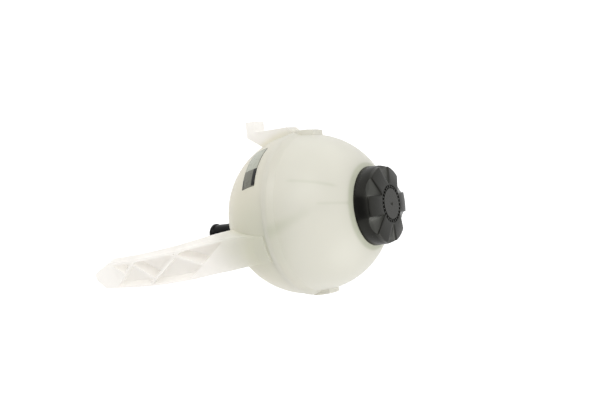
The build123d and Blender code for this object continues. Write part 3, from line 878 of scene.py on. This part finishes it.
@dataclass(kw_only=True)
class NeckThread(Assembly):
    """Right-handed thread on the filler neck, under the cap."""

    layout: Layout
    body: Body = Body.TANK
    slot: Slot = Slot.TANK
    neck_radius: float = 19.2 * MM
    height: float = 1.1 * MM
    sunk: float = 0.3 * MM
    root: float = 2.0 * MM
    crest: float = 0.9 * MM
    pitch: float = 3.0 * MM
    rounds: float = 1.5
    low: float = 70.5 * MM
    steps_a_round: int = 72

    def build(self) -> bpy.types.Object:
        """Sweep the thread's section up the neck.

        Returns:
            The thread.
        """
        Bench.clear()
        middle = self.neck_radius + (self.height - self.sunk) / 2
        bpy.ops.mesh.primitive_plane_add(
            size=1.0, location=(middle, 0, 0), rotation=(math.pi / 2, 0, 0))
        piece = bpy.context.object
        piece.name = "neck_thread"
        piece.scale = (self.height + self.sunk, self.root, 1.0)
        Bench.settle(piece)
        Bench.grab(piece, Element.VERTICES, lambda vertex: vertex.co.x > self.neck_radius)
        bpy.ops.transform.resize(value=(1.0, 1.0, self.crest / self.root))
        bpy.ops.object.mode_set(mode="OBJECT")
        steps = int(self.steps_a_round * self.rounds)
        Bench.apply(
            piece, "SCREW", angle=self.rounds * math.tau, screw_offset=self.rounds * self.pitch,
            steps=steps, render_steps=steps, use_normal_calculate=True)
        Bench.close(piece)
        Bench.shift(piece, self.layout.centre + UP * self.low)
        Bench.smooth(piece)
        return piece

    def add(self) -> None:
        """Build the thread and hang it on the tank."""
        self.hang(self.build())


@dataclass(kw_only=True)
class ScrewCap(Assembly):
    """Six-lobed cap with scooped flutes, a tick ring and a gate mark, in place of its plain solid.

    Radii are from the cap's axis and heights from the weld.
    """

    layout: Layout
    body: Body = Body.CAP
    slot: Slot = Slot.CAP
    solid: str = "cap_shell"
    outside: tuple[Span, ...] = metres(
        (0.0, 80.3), (1.3, 80.3), (1.8, 81.0), (2.4, 81.0), (12.2, 81.0), (12.8, 81.0),
        (12.8, 79.7), (15.8, 79.7), (15.8, 80.9), (31.2, 77.9), (31.9, 77.6),
        (32.3, 77.1), (32.4, 75.4), (32.7, 74.8), (33.4, 63.2))
    inside: tuple[Span, ...] = metres(
        (31.2, 64.4), (30.4, 73.0), (23.2, 73.0), (23.2, 68.7), (21.0, 68.7),
        (21.0, 77.0), (17.9, 77.0), (17.9, 78.8), (13.5, 78.8), (13.5, 75.3),
        (14.3, 75.3), (13.5, 74.2), (11.5, 74.2), (11.5, 78.8), (0.0, 78.8))
    steps: int = 144
    lobes: int = 6
    flute_start: Span = (16.9 * MM, 80.0 * MM)
    flute_end: Span = (35.0 * MM, 75.5 * MM)
    flute_radius: Span = (0.6 * MM, 10.6 * MM)
    flute_flatness: float = 0.28
    flute_rise: float = 8 * MM
    flute_middle: float = -0.01 * MM
    flute_sides: int = 48
    edge: float = 0.25 * MM
    edge_angle: float = math.radians(30)
    edge_merge: float = 0.02 * MM
    bevel_segments: int = 2
    ring_radius: float = 14.3 * MM
    ring_floor: float = 79.7 * MM
    tick: tuple[float, float, float] = (2.0 * MM, 1.2 * MM, 1.1 * MM)
    tick_edge: float = 0.15 * MM
    ticks: int = 28
    sunk: float = 0.05 * MM
    gate_floor: float = 80.3 * MM
    gate_radius: float = 0.7 * MM
    gate_height: float = 0.5 * MM
    gate_inset: float = 0.25 * MM
    gate_crown: float = 0.15 * MM
    gate_edge: float = 0.08 * MM
    gate_sides: int = 48
    facing_up: float = 0.9

    def turned(self) -> bpy.types.Object:
        """Extrude the cap's profile from one vertex and spin it round the axis.

        Returns:
            The cap without its flutes, about the origin.
        """
        Bench.clear()
        bpy.ops.mesh.primitive_plane_add(size=1.0)
        piece = bpy.context.object
        profile = self.outside + self.inside
        points = [Vector((radius, 0, height)) for radius, height in profile]
        bpy.ops.object.mode_set(mode="EDIT")
        bpy.ops.mesh.select_all(action="SELECT")
        bpy.ops.mesh.merge(type="CENTER")
        bpy.ops.transform.translate(value=points[0])
        for start, end in zip(points, points[1:]):
            bpy.ops.mesh.extrude_region_move(TRANSFORM_OT_translate={"value": end - start})
        bpy.ops.mesh.select_all(action="SELECT")
        bpy.ops.mesh.spin(steps=self.steps, angle=math.tau, center=(0, 0, 0), axis=UP)
        bpy.ops.object.mode_set(mode="OBJECT")
        Bench.close(piece)
        return piece

    def scoops(self) -> bpy.types.Object:
        """Model one flattened cone with straight sides and copy it round the axis.

        Returns:
            The joined cones, which cut the flutes.
        """
        Bench.clear()
        start, end = (
            Vector((radius, 0, height)) for radius, height in (self.flute_start, self.flute_end))
        way = end - start
        thin, wide = self.flute_radius
        bpy.ops.mesh.primitive_cone_add(
            vertices=self.flute_sides, radius1=thin, radius2=wide, depth=way.length)
        piece = bpy.context.object
        piece.scale = (self.flute_flatness, 1.0, 1.0)
        Bench.settle(piece)
        Bench.grab(piece, Element.VERTICES, lambda vertex: vertex.co.x < self.flute_middle)
        bpy.ops.transform.translate(value=(-self.flute_rise, 0, 0))
        bpy.ops.object.mode_set(mode="OBJECT")
        tilt = Matrix.Rotation(math.atan2(way.x, way.z), 4, "Y")
        piece.data.transform(Matrix.Translation((start + end) / 2) @ tilt)
        return Bench.spread(piece, "flute_tool", turns(self.lobes))

    def fluted(self) -> bpy.types.Object:
        """Cut the flutes into the turned cap and round its edges.

        Returns:
            The cap's body.
        """
        piece, tool = self.turned(), self.scoops()
        Bench.apply(piece, "BOOLEAN", operation="DIFFERENCE", object=tool, solver="EXACT")
        bpy.data.objects.remove(tool)
        Bench.order(piece)
        Bench.close(piece, self.edge)
        Bench.apply(
            piece, "BEVEL", width=self.edge, segments=self.bevel_segments, limit_method="ANGLE",
            angle_limit=self.edge_angle, use_clamp_overlap=False)
        Bench.close(piece, self.edge_merge)
        piece.name = "cap_body"
        Bench.shift(piece, self.layout.centre)
        Bench.smooth(piece)
        return piece

    def ring(self) -> bpy.types.Object:
        """Model one tick and copy it round the disc's groove.

        Returns:
            The tick ring.
        """
        Bench.clear()
        bpy.ops.mesh.primitive_cube_add(size=1.0)
        piece = bpy.context.object
        piece.scale = self.tick
        Bench.settle(piece)
        Bench.apply(piece, "BEVEL", width=self.tick_edge, segments=self.bevel_segments)
        rise = self.ring_floor + self.tick[2] / 2 - self.sunk
        foot = Matrix.Translation(self.layout.centre + UP * rise)
        out = Matrix.Translation((self.ring_radius, 0, 0))
        piece = Bench.spread(
            piece, "cap_tick_ring", [foot @ turn @ out for turn in turns(self.ticks)])
        Bench.smooth(piece)
        return piece

    def gate(self) -> bpy.types.Object:
        """Model the gate mark, a small pip in the dimple in the middle of the disc.

        Returns:
            The gate mark.
        """
        Bench.clear()
        bpy.ops.mesh.primitive_cylinder_add(
            vertices=self.gate_sides, radius=self.gate_radius, depth=self.gate_height)
        piece = bpy.context.object
        piece.name = "cap_gate_mark"
        Bench.grab(piece, Element.FACES, lambda face: face.normal.z > self.facing_up)
        bpy.ops.mesh.inset(thickness=self.gate_inset)
        bpy.ops.transform.translate(value=(0, 0, self.gate_crown))
        bpy.ops.object.mode_set(mode="OBJECT")
        Bench.apply(
            piece, "BEVEL", width=self.gate_edge, segments=self.bevel_segments,
            limit_method="ANGLE")
        rise = self.gate_floor + self.gate_height / 2 - self.sunk
        Bench.shift(piece, self.layout.centre + UP * rise)
        Bench.smooth(piece)
        return piece

    def add(self) -> None:
        """Build the cap's pieces and hang them on the cap."""
        self.hang(self.fluted(), self.solid)
        self.hang(self.ring())
        self.hang(self.gate())


@dataclass(kw_only=True)
class ValveSpring(Assembly):
    """Coil in place of its solid."""

    slot: Slot = Slot.STEEL
    node: str
    joint: str

    def build(self) -> bpy.types.Object:
        """Copy the solid's mesh, merge its doubles and shade it.

        Returns:
            The coil.
        """
        Bench.clear()
        mesh = frame["nodes"][self.node].data.copy()
        piece = bpy.data.objects.new(self.node.replace("spring", "coil"), mesh)
        bpy.context.scene.collection.objects.link(piece)
        Bench.close(piece)
        Bench.smooth(piece)
        return piece

    def shorten(self, piece: bpy.types.Object) -> None:
        """Give the coil its own copy of its mesh; the share of its length to keep is worked out
        from its joint but not used.
        """
        joint = next(entry for entry in frame["joints"] if entry["name"] == self.joint)
        low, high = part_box(self.node)
        keep = 1.0 - joint["range_m"][1] / (high.z - low.z)
        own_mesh(piece)

    def add(self) -> None:
        """Build the coil, hang it on its body and give it its own mesh."""
        piece = self.build()
        self.hang(piece, self.node)
        self.shorten(piece)


# Camera and light


@dataclass
class ViewCamera:
    """Camera at the photograph's viewing angle, turned so that the neck points to the right."""

    layout: Layout
    right: Direction = (0.1215, 0.526, 0.842)
    back: Direction = (0.0, -0.848, 0.53)
    distance: float = 0.900
    metres_per_pixel: float = 0.87 * MM
    ball_pixel: Span = (309.0, 213.0)
    image: tuple[int, int] = (600, 400)
    sensor: float = 36.0
    clip_start: float = 0.01

    def place(self) -> None:
        """Add the camera and make it the scene's own."""
        back = Vector(self.back).normalized()
        right = Vector(self.right)
        right = (right - back * right.dot(back)).normalized()
        up = back.cross(right)
        aside = (self.image[0] / 2 - self.ball_pixel[0]) * self.metres_per_pixel
        above = (self.ball_pixel[1] - self.image[1] / 2) * self.metres_per_pixel
        spot = self.layout.centre + back * self.distance + right * aside + up * above
        data = bpy.data.cameras.new("view")
        data.sensor_fit = "HORIZONTAL"
        data.sensor_width = self.sensor
        data.lens = self.sensor * self.distance / self.metres_per_pixel / self.image[0]
        data.clip_start = self.clip_start
        camera = bpy.data.objects.new("view", data)
        turn = Matrix((right, up, back)).transposed().to_4x4()
        camera.matrix_world = Matrix.Translation(spot) @ turn
        bpy.context.scene.collection.objects.link(camera)
        bpy.context.scene.camera = camera


@dataclass(frozen=True)
class Lamp:
    """Soft square lamp that looks at the ball."""

    name: str
    direction: Direction
    distance: float
    size: float
    watts: float

    def place(self, target: Vector) -> None:
        """Add the lamp.

        Args:
            target: Point that it looks at.
        """
        data = bpy.data.lights.new(self.name, "AREA")
        data.size = self.size
        data.energy = self.watts
        lamp = bpy.data.objects.new(self.name, data)
        away = Vector(self.direction).normalized()
        lamp.location = target + away * self.distance
        lamp.rotation_euler = away.to_track_quat("Z", "Y").to_euler()
        bpy.context.scene.collection.objects.link(lamp)


@dataclass
class Studio:
    """White surroundings, a pale floor well below the tank, a dark card and soft lamps."""

    layout: Layout
    tip_drop: float = 0.181
    floor_drop: float = 0.45
    floor_size: float = 12.0
    floor_colour: Colour = (0.82, 0.82, 0.82)
    floor_lift: float = 0.55
    sky: float = 0.88
    card_size: float = 1.2
    card_distance: float = 0.9
    card_direction: Direction = (0.0, -0.85, -0.53)
    card_colour: Colour = (0.03, 0.03, 0.03)
    lamps: tuple[Lamp, ...] = (
        Lamp("key", (-0.60, -0.72, 0.35), 1.1, 0.5, 3.0),
        Lamp("fill", (0.80, 0.10, 0.60), 1.1, 0.8, 4.0),
        Lamp("rim", (-0.88, 0.40, 0.22), 1.1, 0.7, 1.5),
    )

    @staticmethod
    def seen(graph: Graph) -> Value:
        """1 for the rays that see the surroundings as plain white, and 0 for the others."""
        path = graph.node("ShaderNodeLightPath", {}, {})
        camera, glossy, through = (
            Value(graph, path.outputs[f"Is {kind} Ray"])
            for kind in ("Camera", "Glossy", "Transmission"))
        return (camera + glossy + through).rises(0, 1)

    def floor(self) -> None:
        """Add the floor, which shows white and still takes the shadow."""
        Bench.clear()
        middle = self.layout.centre
        low = middle.z - self.tip_drop - self.floor_drop
        bpy.ops.mesh.primitive_plane_add(size=self.floor_size, location=(middle.x, middle.y, low))
        floor = bpy.context.object
        floor.name = "floor"
        graph = Graph.paint("floor_paint")
        paint = graph.shader("BsdfDiffuse", {"Color": self.floor_colour})
        strength = self.seen(graph) * self.floor_lift
        lift = graph.shader("Emission", {"Color": WHITE, "Strength": strength})
        dress(floor, graph.finish(graph.shader("AddShader", {0: paint, 1: lift})))

    def card(self) -> None:
        """Add the dark card under the camera that only shows in reflections, on the cap's skirt."""
        Bench.clear()
        away = Vector(self.card_direction).normalized()
        bpy.ops.mesh.primitive_plane_add(size=self.card_size)
        card = bpy.context.object
        card.name = "dark_card"
        turn = away.to_track_quat("Z", "Y").to_matrix().to_4x4()
        spot = self.layout.centre + away * self.card_distance
        card.matrix_world = Matrix.Translation(spot) @ turn
        card.visible_camera = False
        card.visible_diffuse = False
        card.visible_transmission = False
        card.visible_shadow = False
        graph = Graph.paint("card_felt")
        dress(card, graph.finish(graph.shader("BsdfDiffuse", {"Color": self.card_colour})))

    def world(self) -> None:
        """Set white surroundings that light the tank evenly."""
        graph = Graph(bpy.data.worlds.new("surroundings"))
        strength = self.seen(graph) * (1.0 - self.sky) + self.sky
        bpy.context.scene.world = graph.finish(
            graph.shader("Background", {"Color": WHITE, "Strength": strength}))

    def build(self) -> None:
        """Add the surroundings, the floor, the card and the lamps."""
        self.world()
        self.floor()
        self.card()
        for lamp in self.lamps:
            lamp.place(self.layout.centre)
        bpy.context.scene.view_settings.view_transform = "Standard"


def main() -> None:
    """Dress the solids, add the new pieces and set up camera and light."""
    logging.basicConfig(level=logging.INFO, format="%(name)s: %(message)s")
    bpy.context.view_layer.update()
    layout = Layout.read()
    milky = MilkyPlastic().make(layout)
    black = CapPlastic().make(layout)
    steel = SPRING_STEEL.make()
    finishes: dict[bpy.types.Material, tuple[str, ...]] = {
        milky: ("lower_shell", "upper_shell"),
        black: ("cap_shell",),
        SPIGOT_PLASTIC.make(): ("outlet_spigot",),
        VALVE_PLASTIC.make(): ("cap_plug", "spring_retainer", "pressure_plate"),
        SEAL_RUBBER.make(): ("outlet_seal", "plug_seal", "pressure_gasket", "vacuum_washer"),
        steel: ("pressure_spring", "vacuum_spring"),
        STEM_BRASS.make(): ("vacuum_stem",),
        PrintedFilm().make(layout): ("label",),
    }
    for material, nodes in finishes.items():
        for node in nodes:
            dress(frame["nodes"][node], material)
            LOG.info("%s dressed with %s", node, material.name)
    NeckThread(layout=layout, material=milky).add()
    ScrewCap(layout=layout, material=black).add()
    ValveSpring(
        material=steel, body=Body.INSERT, node="pressure_spring", joint="pressure_lift").add()
    ValveSpring(
        material=steel, body=Body.PRESSURE, node="vacuum_spring", joint="vacuum_drop").add()
    Studio(layout).build()
    ViewCamera(layout).place()


if __name__ == "__main__":
    main()
